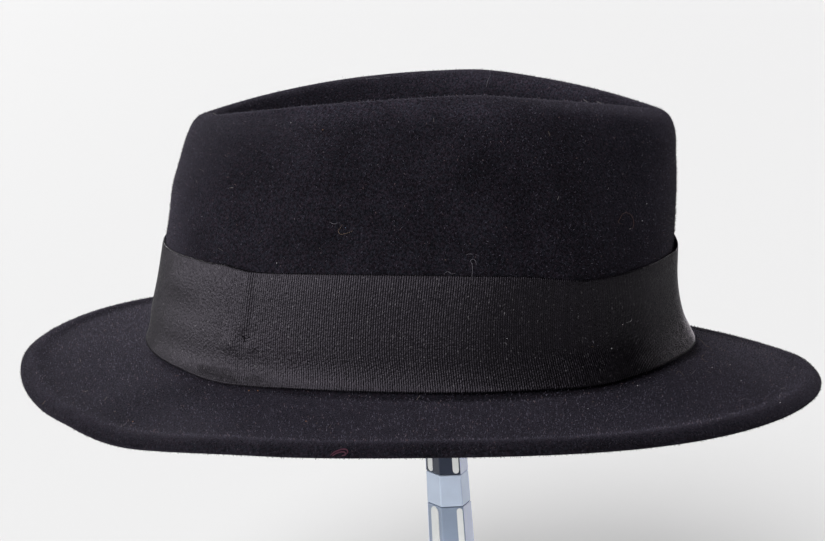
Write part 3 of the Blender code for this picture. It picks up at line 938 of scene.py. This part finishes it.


# Lint and hairs seen in the photograph, and the tack that holds the ribbon's end, whose black threads also
# stand in as painted shade for its stitch holes

lint = dict(
    sides=5,
    spacing=0.00035,
    lift=0.00006,            # height of a hair over the cloth
    rest=0.6,                # and the share of its radius that stays over it
    longestStep=0.2,         # largest spacing, as a share of its length
    tip=0.12,                # how blunt its tips are, in radians
    tipPower=0.4,
    speckReach=(0.35, 0.2),  # half of a speck's length in pixels, across and up
    halfMillimetre=0.0005,   # radius of a hair of one millimetre, in metres
    shine=0.2,
    fineScale=3000.0,
    fineTones=(0.4, 1.6),
    roughness=(0.55, 0.9),
)
lintColours = dict(
    grey=(0.105, 0.098, 0.115), brown=(0.075, 0.042, 0.036), tan=(0.13, 0.09, 0.064),
    pale=(0.36, 0.35, 0.37), orange=(0.3, 0.14, 0.05), rose=(0.034, 0.008, 0.017),
    blue=(0.08, 0.11, 0.17), black=(0.0006, 0.0006, 0.0008),
)
lintHairs = [
    # colour, thickness in millimetres, pixels of the photograph from end to end
    ("grey", 0.14, [(471.9, 277), (472.5, 269.8), (471.9, 263.5), (470.6, 261), (473.1, 259.1),
        (475.6, 261), (476.3, 264.8)]),
    ("grey", 0.1, [(466, 255), (469.5, 253.8), (473, 254.2)]),
    ("grey", 0.1, [(444, 274.5), (447.5, 271.5), (451.5, 273.8), (456.5, 273)]),
    ("brown", 0.13, [(629.5, 228.8), (632.4, 227.9), (633.6, 224.1), (633.3, 221), (631.1, 215.4),
        (626.8, 212.9), (622.4, 214.1), (619.9, 218.5), (618, 222.3), (623, 224.5)]),
    ("pale", 0.1, [(629, 229), (630.8, 228.8)]),
    ("grey", 0.12, [(329.8, 221.6), (332.3, 223.5), (335.4, 223.9), (338.5, 222.3)]),
    ("tan", 0.1, [(353.5, 230.4), (349.8, 232.3), (344.1, 233.9), (340.4, 234.1), (338.5, 232),
        (339.8, 228.5), (342.3, 224.8)]),
    ("tan", 0.12, [(695.9, 338), (700, 339.9), (704.4, 344.3), (707.5, 346.8), (710.6, 347.4)]),
    ("tan", 0.09, [(704.4, 354.3), (701.9, 357.4), (703.1, 359.6), (705.6, 361.8), (708.1, 361.6)]),
    ("tan", 0.08, [(676.3, 374.3), (679, 371.5), (681, 372.8), (683.8, 376.1)]),
    ("grey", 0.1, [(690.5, 375.4), (693, 373), (695.6, 369.9)]),
    ("pale", 0.08, [(626.1, 323), (628.6, 321.8), (631.1, 321.1), (631.8, 318.8)]),
    ("grey", 0.12, [(636.1, 322.4), (638.6, 320.5)]),
    ("grey", 0.12, [(584.3, 336.8), (586.8, 339.9)]),
    ("grey", 0.2, [(592.6, 340.5), (593.4, 343.6)]),
    ("tan", 0.12, [(591.4, 346.8), (593.6, 346.6)]),
    ("grey", 0.14, [(597, 345.8), (598.6, 345.4)]),
    ("grey", 0.14, [(634.5, 336.3), (637.5, 335.8)]),
    ("rose", 0.6, [(330.5, 455.4), (334, 453), (338.5, 451), (343, 449.6), (347, 450.2), (348, 452.6),
        (345.6, 454.4)]),
    ("rose", 0.6, [(332.5, 455.8), (336, 453.8), (341, 452.4), (345, 452.6), (346, 454.6), (342, 455.6)]),
    ("tan", 0.18, [(42.6, 404.6), (45.6, 400.8)]),
    ("grey", 0.12, [(782, 392), (779.5, 396), (780.5, 401)]),
    ("grey", 0.1, [(738, 402), (745, 399), (753, 400)]),
    ("grey", 0.14, [(365, 79.3), (373, 78.2), (381, 78.6)]),
    ("grey", 0.14, [(384, 77), (391.5, 76.2)]),
    ("grey", 0.16, [(486.5, 87), (487.8, 81), (490.5, 75.5)]),
]
lintSpecks = [
    # colour, width in millimetres, pixel
    ("orange", 0.34, (258, 391)), ("orange", 0.28, (249, 391)), ("orange", 0.34, (133, 422)),
    ("tan", 0.28, (115, 412)), ("orange", 0.26, (306, 421.5)), ("tan", 0.26, (317, 423.5)),
    ("pale", 0.4, (637.5, 386)), ("pale", 0.34, (780, 403)), ("pale", 0.34, (622.4, 324.6)),
    ("pale", 0.3, (611.5, 348.4)), ("pale", 0.28, (646.5, 203.8)), ("pale", 0.26, (642, 220.8)),
    ("blue", 0.34, (345.8, 227.9)), ("pale", 0.26, (255, 366)), ("tan", 0.24, (445.5, 259.8)),
    ("pale", 0.28, (507, 338.5)), ("grey", 0.3, (571.8, 310.3)), ("grey", 0.3, (578, 313.6)),
    ("pale", 0.3, (712, 367.8)), ("pale", 0.26, (741, 381)), ("pale", 0.26, (588, 409)),
    ("grey", 0.3, (578, 404)), ("tan", 0.24, (593, 402)), ("pale", 0.26, (730, 365)),
    ("pale", 0.24, (291, 123)), ("orange", 0.24, (323, 130)), ("pale", 0.24, (277, 263)),
]
tackThreadsAndHoleShade = [
    # thickness in millimetres, pixels
    (0.62, [(242.2, 335.6), (243.2, 336.4)]), (0.34, [(243, 336.4), (245.3, 338.6)]),
    (0.52, [(249.8, 336.9), (249, 337.6)]), (0.3, [(249.2, 337.4), (247, 338.7), (245.1, 338.4)]),
    (0.6, [(244, 342), (244.2, 341.2)]), (0.24, [(244.3, 341.4), (244.9, 338.6)]),
]


def surfaceTree(objects):
    # one tree of all the objects' faces, for rays
    points = []
    faces = []
    for obj in objects:
        base = len(points)
        points += [v.co[:] for v in obj.data.vertices]
        faces += [tuple(base + index for index in p.vertices) for p in obj.data.polygons]
    return BVHTree.FromPolygons(points, faces)


def atPixel(cameraObject, tree, pixel):
    # the point and normal that the photograph's camera sees at a pixel
    focal = cameraObject.data.lens / cameraObject.data.sensor_width * photo["width"]
    right = (pixel[0] - 0.5 * photo["width"]) / focal
    up = (0.5 * photo["height"] - pixel[1]) / focal
    turned = (cameraObject.matrix_world.to_3x3() @ Vector((right, up, -1.0))).normalized()
    point, normal, face, distance = tree.ray_cast(cameraObject.matrix_world.translation, turned)
    return point, normal


def addStrand(strands, hits, thickness, colour):
    # a thin tube through the points seen at its pixels, lying on the cloth
    radius = lint["halfMillimetre"] * thickness
    path = np.array([point + normal * (lint["rest"] * radius + lint["lift"]) for point, normal in hits])
    reach = np.linalg.norm(np.diff(path, axis=0), axis=1).sum()
    line = smoothThrough(path[:, None, :], min(lint["spacing"], lint["longestStep"] * reach))[:, 0]
    normal = np.mean([n for p, n in hits], axis=0)
    along = np.gradient(line, axis=0)
    side = np.cross(along, normal)
    side /= np.maximum(np.linalg.norm(side, axis=1, keepdims=True), 1e-12)
    up = np.cross(side, along)
    up /= np.maximum(np.linalg.norm(up, axis=1, keepdims=True), 1e-12)
    turns = np.linspace(0.0, 2.0 * math.pi, lint["sides"], endpoint=False)[None, :, None]
    shares = np.sin(np.linspace(lint["tip"], math.pi - lint["tip"], len(line)))[:, None, None]
    thin = shares ** lint["tipPower"] * radius
    rings = line[:, None, :] + thin * (np.cos(turns) * side[:, None, :] + np.sin(turns) * up[:, None, :])
    base = sum(len(points) for points, faces, tone in strands)
    last = (len(rings) - 1) * lint["sides"]
    faces = gridFaces(len(rings), lint["sides"], True)
    faces += [tuple(range(lint["sides"] - 1, -1, -1)), tuple(range(last, last + lint["sides"]))]
    faces = [tuple(base + index for index in face) for face in faces]
    strands.append((rings.reshape(-1, 3), faces, colour))


def strandObject(name, strands, material):
    points = np.concatenate([points for points, faces, tone in strands])
    mesh = makeMesh(name, points, [face for part in strands for face in part[1]])
    colours = [np.tile((*tone, 1.0), (len(points), 1)) for points, faces, tone in strands]
    colours = np.concatenate(colours).ravel().astype(np.float32)
    mesh.attributes.new("lintColour", "FLOAT_COLOR", "POINT").data.foreach_set("color", colours)
    turnOutwards(mesh)
    return addObject(name, mesh, material)


def lintMaterial(name, shine):
    material, tree, shader = newMaterial(name, Specular_IOR_Level=shine)
    own = readAttribute(tree, "lintColour", "Color")
    fine = addNoise(tree, objectPlace(tree), lint["fineScale"], 2.0)
    setInput(tree, shader, "Base Color", scaleBy(tree, own, mapTo(tree, fine, *lint["fineTones"])))
    setInput(tree, shader, "Roughness", mapTo(tree, fine, *lint["roughness"]))
    return material


def makeLint(cameraObject, cloth):
    tree = surfaceTree(cloth)
    across, up = lint["speckReach"]
    hairs = []
    for colour, thickness, pixels in lintHairs:
        hits = [atPixel(cameraObject, tree, pixel) for pixel in pixels]
        addStrand(hairs, [hit for hit in hits if hit[0]], thickness, lintColours[colour])
    for colour, width, (x, y) in lintSpecks:
        hits = [atPixel(cameraObject, tree, pixel) for pixel in ((x - across, y + up), (x + across, y - up))]
        addStrand(hairs, hits, width, lintColours[colour])
    stitches = []
    # the tack's threads are black without shine: real stitches, and painted shade for their holes
    for thickness, pixels in tackThreadsAndHoleShade:
        hits = [atPixel(cameraObject, tree, pixel) for pixel in pixels]
        addStrand(stitches, hits, thickness, lintColours["black"])
    print("lint:", len(hairs), "hairs and specks,", len(stitches), "stitches")
    return (strandObject("foundLint", hairs, lintMaterial("lintThread", lint["shine"])),
            strandObject("tackStitchesAndHoleShade", stitches, lintMaterial("blackThreadAndHoleShade", 0.0)))


# Stand

stand = dict(
    weld=1e-6,
    flatAngle=1.0,           # faces that meet at less than this are one, in degrees
    bevel=0.00035,
    bevelSteps=3,
    collarSlim=0.965,        # share of the collar's width, so that its edge shows less
    firstTurn=200.0,         # the post's faces are counted from this direction, in degrees
    paintedFaceShade=0.36,           # painted shade: tone of a face that looks left, towards the lamps
    paintedFaceGain=0.72,           # and how much lighter it is painted as it turns to the right
    barRaise=0.00018,
    barShoulder=0.6,         # share of that up to which their sides are straight
    barSoft=0.00012,         # rounding of the bars' outline
    barSink=0.0001,          # how far they reach into the post
    roundGap=0.0004,         # from the end of a face to a white bar's end
    squareGap=-0.0001,       # the same for a pale bar, which covers its face wholly
    squareEnd=0.0002,
    squarePower=0.2,
    steps=8,
    discSegments=128,
    discSteps=8,
    discFoot=(0.0008, 0.0003),       # width and height of the bevel under a disc's edge
    discCrease=40.0,         # edges sharper than this stay sharp, in degrees
    baseEdge=0.0015,
    baseSeat=[(0.93, 0.0), (0.915, 0.0004), (0.89, 0.0004), (0.875, 0.0), (0.30, 0.0)],
    padEdge=0.0012,
    padSeat=[(0.90, 0.0), (0.5, 0.0)],
)
plastics = dict(
    # colour, roughness, whether it gets painted shade from face to face
    pale=((0.50, 0.56, 0.64), 0.35, False),
    collar=((0.47, 0.54, 0.66), 0.40, True),
    mid=((0.23, 0.28, 0.37), 0.38, True),
    slate=((0.014, 0.021, 0.042), 0.40, True),
    white=((0.68, 0.69, 0.68), 0.38, True),
    side=((0.50, 0.54, 0.66), 0.40, True),
)
plasticFinish = dict(
    specular=0.4,
    cloudScale=90.0,
    cloudTones=(0.93, 1.06),
    cloudGloss=(-0.06, 0.08),
    gritScale=2600.0,
    bump=(0.12, 0.0002),     # strength, distance
)
postPattern = [
    # node, face from the one at the left, from, to, colour
    ("post_upper", 0, 0.17, 0.53, "white"),
    ("post_upper", 1, 0.65, 0.95, "white"),
    ("post_upper", 2, 0.02, 0.98, "pale"),
    ("post_lower", 0, 0.25, 0.78, "white"),
    ("post_lower", 1, 0.70, 0.97, "white"),
    ("post_lower", 2, 0.02, 0.98, "pale"),
]


def plasticMaterial(name, colour, rough, shadedByFace):
    look = plasticFinish
    material, tree, shader = newMaterial(name, Specular_IOR_Level=look["specular"])
    place = objectPlace(tree)
    cloud = addNoise(tree, place, look["cloudScale"], 4.0)
    tones = [[min(1.0, gain * part) for part in colour] for gain in look["cloudTones"]]
    shade = twoTones(tree, cloud, *tones)
    # painted shade, by the way each face looks
    if shadedByFace:
        shade = scaleBy(tree, shade, readAttribute(tree, "paintedFaceShade"))
    setInput(tree, shader, "Base Color", shade)
    smoother, rougher = look["cloudGloss"]
    setInput(tree, shader, "Roughness", mapTo(tree, cloud, rough + smoother, rough + rougher))
    setBump(tree, shader, addNoise(tree, place, look["gritScale"], 2.0), *look["bump"])
    return material


def mergedCopy(nodeName):
    # the node's shape with its loose triangles joined and its flat faces whole
    shape = bmesh.new()
    shape.from_mesh(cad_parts[nodeName].data)
    bmesh.ops.remove_doubles(shape, verts=shape.verts[:], dist=stand["weld"])
    bmesh.ops.dissolve_limit(shape, angle_limit=math.radians(stand["flatAngle"]), verts=shape.verts[:],
                             edges=shape.edges[:])
    return shape


def addPaintedFaceShade(mesh):
    # painted shade that evens out the lamps on the left: the post's faces are darker the more they look left
    tones = [stand["paintedFaceShade"] + stand["paintedFaceGain"] * (1.0 + p.normal.x) for p in mesh.polygons]
    mesh.attributes.new("paintedFaceShade", "FLOAT", "FACE").data.foreach_set("value", np.array(tones, np.float32))


def makePostPiece(nodeName, name, material, slim=1.0):
    shape = mergedCopy(nodeName)
    middle = sum((v.co for v in shape.verts), Vector()) / len(shape.verts)
    for v in shape.verts:
        v.co.x = middle.x + slim * (v.co.x - middle.x)
        v.co.y = middle.y + slim * (v.co.y - middle.y)
    bmesh.ops.bevel(shape, geom=shape.edges[:], offset=stand["bevel"], segments=stand["bevelSteps"],
                    affect="EDGES", profile=0.5)
    mesh = bpy.data.meshes.new(name)
    shape.to_mesh(mesh)
    shape.free()
    addPaintedFaceShade(mesh)
    return addObject(name, mesh, material, False)


def postFaces(nodeName):
    # the post's sloping faces from the left one round: their four corners and their normal
    shape = mergedCopy(nodeName)
    faces = []
    for face in shape.faces:
        if abs(face.normal.z) < 0.5:
            turn = math.degrees(math.atan2(face.normal.y, face.normal.x)) % 360.0
            corners = sorted((v.co.copy() for v in face.verts), key=lambda p: p.z)
            middle = face.calc_center_median()
            side = Vector((-face.normal.y, face.normal.x, 0.0))
            low = sorted(corners[:2], key=lambda p: (p - middle).dot(side))
            high = sorted(corners[2:], key=lambda p: (p - middle).dot(side))
            turn = (turn - stand["firstTurn"]) % 360.0
            faces.append((turn, low + high, face.normal.copy()))
    shape.free()
    return [(corners, normal) for turn, corners, normal in sorted(faces, key=lambda entry: entry[0])]


def barOutline(corners, start, end, rounded):
    # the outline of a bar on one face, with half-round or square ends
    lowLeft, lowRight, highLeft, highRight = corners
    height = 0.5 * ((highLeft + highRight) - (lowLeft + lowRight)).length

    def at(across, up):
        return lowLeft.lerp(lowRight, across).lerp(highLeft.lerp(highRight, across), up)

    middle = 0.5 * (start + end)
    half = 0.5 * (end - start)
    outline = []
    for up, sign in ((0.0, 1.0), (1.0, -1.0)):
        width = (at(end, up) - at(start, up)).length
        radius = (0.5 * width if rounded else stand["squareEnd"]) / height
        centre = up + sign * (stand["roundGap" if rounded else "squareGap"] / height + radius)
        for step in range(stand["steps"] + 1):
            turn = math.pi * step / stand["steps"]
            dip = math.sin(turn) if rounded else math.sin(turn) ** stand["squarePower"]
            outline.append(at(middle - half * math.cos(turn) * sign, centre - sign * radius * dip))
    return outline


def makeBars(name, rows, material):
    points = []
    faces = []
    shoulder = stand["barShoulder"] * stand["barRaise"]
    layers = ((-stand["barSink"], 0.0), (shoulder, 0.0), (stand["barRaise"], stand["barSoft"]))
    for nodeName, column, start, end, colour in rows:
        sides = postFaces(nodeName)
        # the opposite face, which doesn't show, carries the same bar
        for index in (column, column + 3):
            corners, normal = sides[index]
            outline = barOutline(corners, start, end, colour == "white")
            middle = sum(outline, Vector()) / len(outline)
            base = len(points)
            count = len(outline)
            for raised, inset in layers:
                lift = normal * raised
                points += [point + lift + (middle - point).normalized() * inset for point in outline]
            faces += [tuple(base + corner for corner in face) for face in gridFaces(len(layers), count, True)]
            faces.append(tuple(base + 2 * count + step for step in range(count)))
            faces.append(tuple(base + step for step in reversed(range(count))))
    mesh = makeMesh(name, [tuple(p) for p in points], faces)
    turnOutwards(mesh)
    addPaintedFaceShade(mesh)
    return addObject(name, mesh, material, False)


def makeDisc(nodeName, name, edge, seat, material):
    # a round moulded plate in the node's box, with a rounded edge and a shallow groove
    low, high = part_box(nodeName)
    middle = 0.5 * (low + high)
    radius = 0.5 * (high.x - low.x)
    thick = high.z - low.z
    inwards, upwards = stand["discFoot"]
    profile = [(radius - 0.5 * edge - inwards, 0.0), (radius - 0.5 * edge, upwards), (radius, 0.5 * edge)]
    for step in range(stand["discSteps"] + 1):
        turn = 0.5 * math.pi * step / stand["discSteps"]
        profile.append((radius - edge + edge * math.cos(turn), thick - edge + edge * math.sin(turn)))
    profile += [(radius * share, thick - drop) for share, drop in seat]
    count = stand["discSegments"]
    turns = np.linspace(0.0, 2.0 * math.pi, count, endpoint=False)
    x, y = np.cos(turns), np.sin(turns)
    rings = [np.stack([middle.x + r * x, middle.y + r * y, np.full(count, low.z + z)], axis=1)
             for r, z in profile]
    last = (len(rings) - 1) * count
    faces = gridFaces(len(rings), count, True)
    faces += [tuple(range(count - 1, -1, -1)), tuple(range(last, last + count))]
    obj = addObject(name, makeMesh(name, np.array(rings), faces), material)
    obj.data.set_sharp_from_angle(angle=math.radians(stand["discCrease"]))
    return obj


def makeStand():
    made = {name: plasticMaterial(name + "Plastic", *look) for name, look in plastics.items()}
    basePlate = makeDisc("base_plate", "basePlate", stand["baseEdge"], stand["baseSeat"], made["pale"])
    finishPiece(basePlate, "pale_plastic", "base_plate")
    topPad = makeDisc("top_pad", "topPad", stand["padEdge"], stand["padSeat"], made["pale"])
    finishPiece(topPad, "pale_plastic", "top_pad")
    finishPiece(makePostPiece("post_lower", "postLower", made["mid"]), "mid_plastic", "post_lower")
    collar = makePostPiece("post_collar", "postCollar", made["collar"], stand["collarSlim"])
    finishPiece(collar, "pale_plastic", "post_collar")
    finishPiece(makePostPiece("post_upper", "postUpper", made["slate"]), "slate_plastic", "post_upper")
    for name, colour, plastic in (("postBars", "white", "white"), ("postPanels", "pale", "side")):
        rows = [row for row in postPattern if row[-1] == colour]
        finishPiece(makeBars(name, rows, made[plastic]), "pale_plastic")


# Light and floor

studio = dict(
    world=0.005,
    floorColour=(0.66, 0.66, 0.66),
    floorRadius=14.0,
    floorRoughness=0.9,
    floorSpecular=0.1,
)
lamps = [
    # name, degrees round from the camera's side to the right, elevation, spread in degrees, strength, colour
    ("frontSoftbox", -18.0, 36.0, 26.0, 2.75, (1.0, 1.0, 1.0)),
    ("leftWindow", -55.0, 5.0, 28.0, 3.70, (1.0, 1.0, 1.0)),
    ("sideFill", -80.0, 5.0, 32.0, 2.00, (1.0, 1.0, 1.0)),
    ("highLeft", -95.0, 36.0, 28.0, 0.75, (1.0, 1.0, 1.0)),
    ("backLeftWindow", -150.0, 24.0, 28.0, 2.95, (1.0, 1.0, 1.0)),
    ("backRightFill", 150.0, 5.0, 28.0, 1.55, (1.0, 0.93, 1.0)),
]


def makeStudio():
    world = bpy.data.worlds.new("world")
    world.use_nodes = True
    world.node_tree.nodes["Background"].inputs["Color"].default_value = (1.0, 1.0, 1.0, 1.0)
    world.node_tree.nodes["Background"].inputs["Strength"].default_value = studio["world"]
    scene.world = world
    material, tree, shader = newMaterial("paleFloor", Roughness=studio["floorRoughness"],
                                         Specular_IOR_Level=studio["floorSpecular"])
    shader.inputs["Base Color"].default_value = (*studio["floorColour"], 1.0)
    size = studio["floorRadius"]
    mesh = makeMesh("floor", [(-size, -size, 0), (size, -size, 0), (size, size, 0), (-size, size, 0)],
                    [(0, 1, 2, 3)])
    addObject("floor", mesh, material, False)
    for name, side, up, spread, strength, colour in lamps:
        light = bpy.data.lights.new(name, "SUN")
        light.angle = math.radians(spread)
        light.energy = strength
        light.color = colour
        turn = math.radians(side)
        rise = math.radians(up)
        way = Vector((math.sin(turn) * math.cos(rise), -math.cos(turn) * math.cos(rise), math.sin(rise)))
        obj = bpy.data.objects.new(name, light)
        scene.collection.objects.link(obj)
        facing = way.to_track_quat("Z", "Y").to_matrix().to_4x4()
        obj.matrix_world = Matrix.Translation(hatMiddle + way) @ facing


photoCamera = makeCamera()
makeStudio()
print("camera and studio ready")
feltHat, feltGrid = makeFelt(feltMaterial())
feltHat.data["outerCount"] = feltGrid.shape[0] * feltGrid.shape[1]
finishPiece(feltHat, "felt", "felt_body")
for piece in makeFuzz(feltHat):
    finishPiece(piece, "felt")
ribbonBand, ribbonLength = makeRibbon(ribbonMaterial())
finishPiece(ribbonBand, "ribbon", "ribbon_band")
foundLint, tackStitchesAndHoleShade = makeLint(photoCamera, [feltHat, ribbonBand])
finishPiece(foundLint, "felt")
finishPiece(tackStitchesAndHoleShade, "ribbon")
makeStand()
print("stand ready")
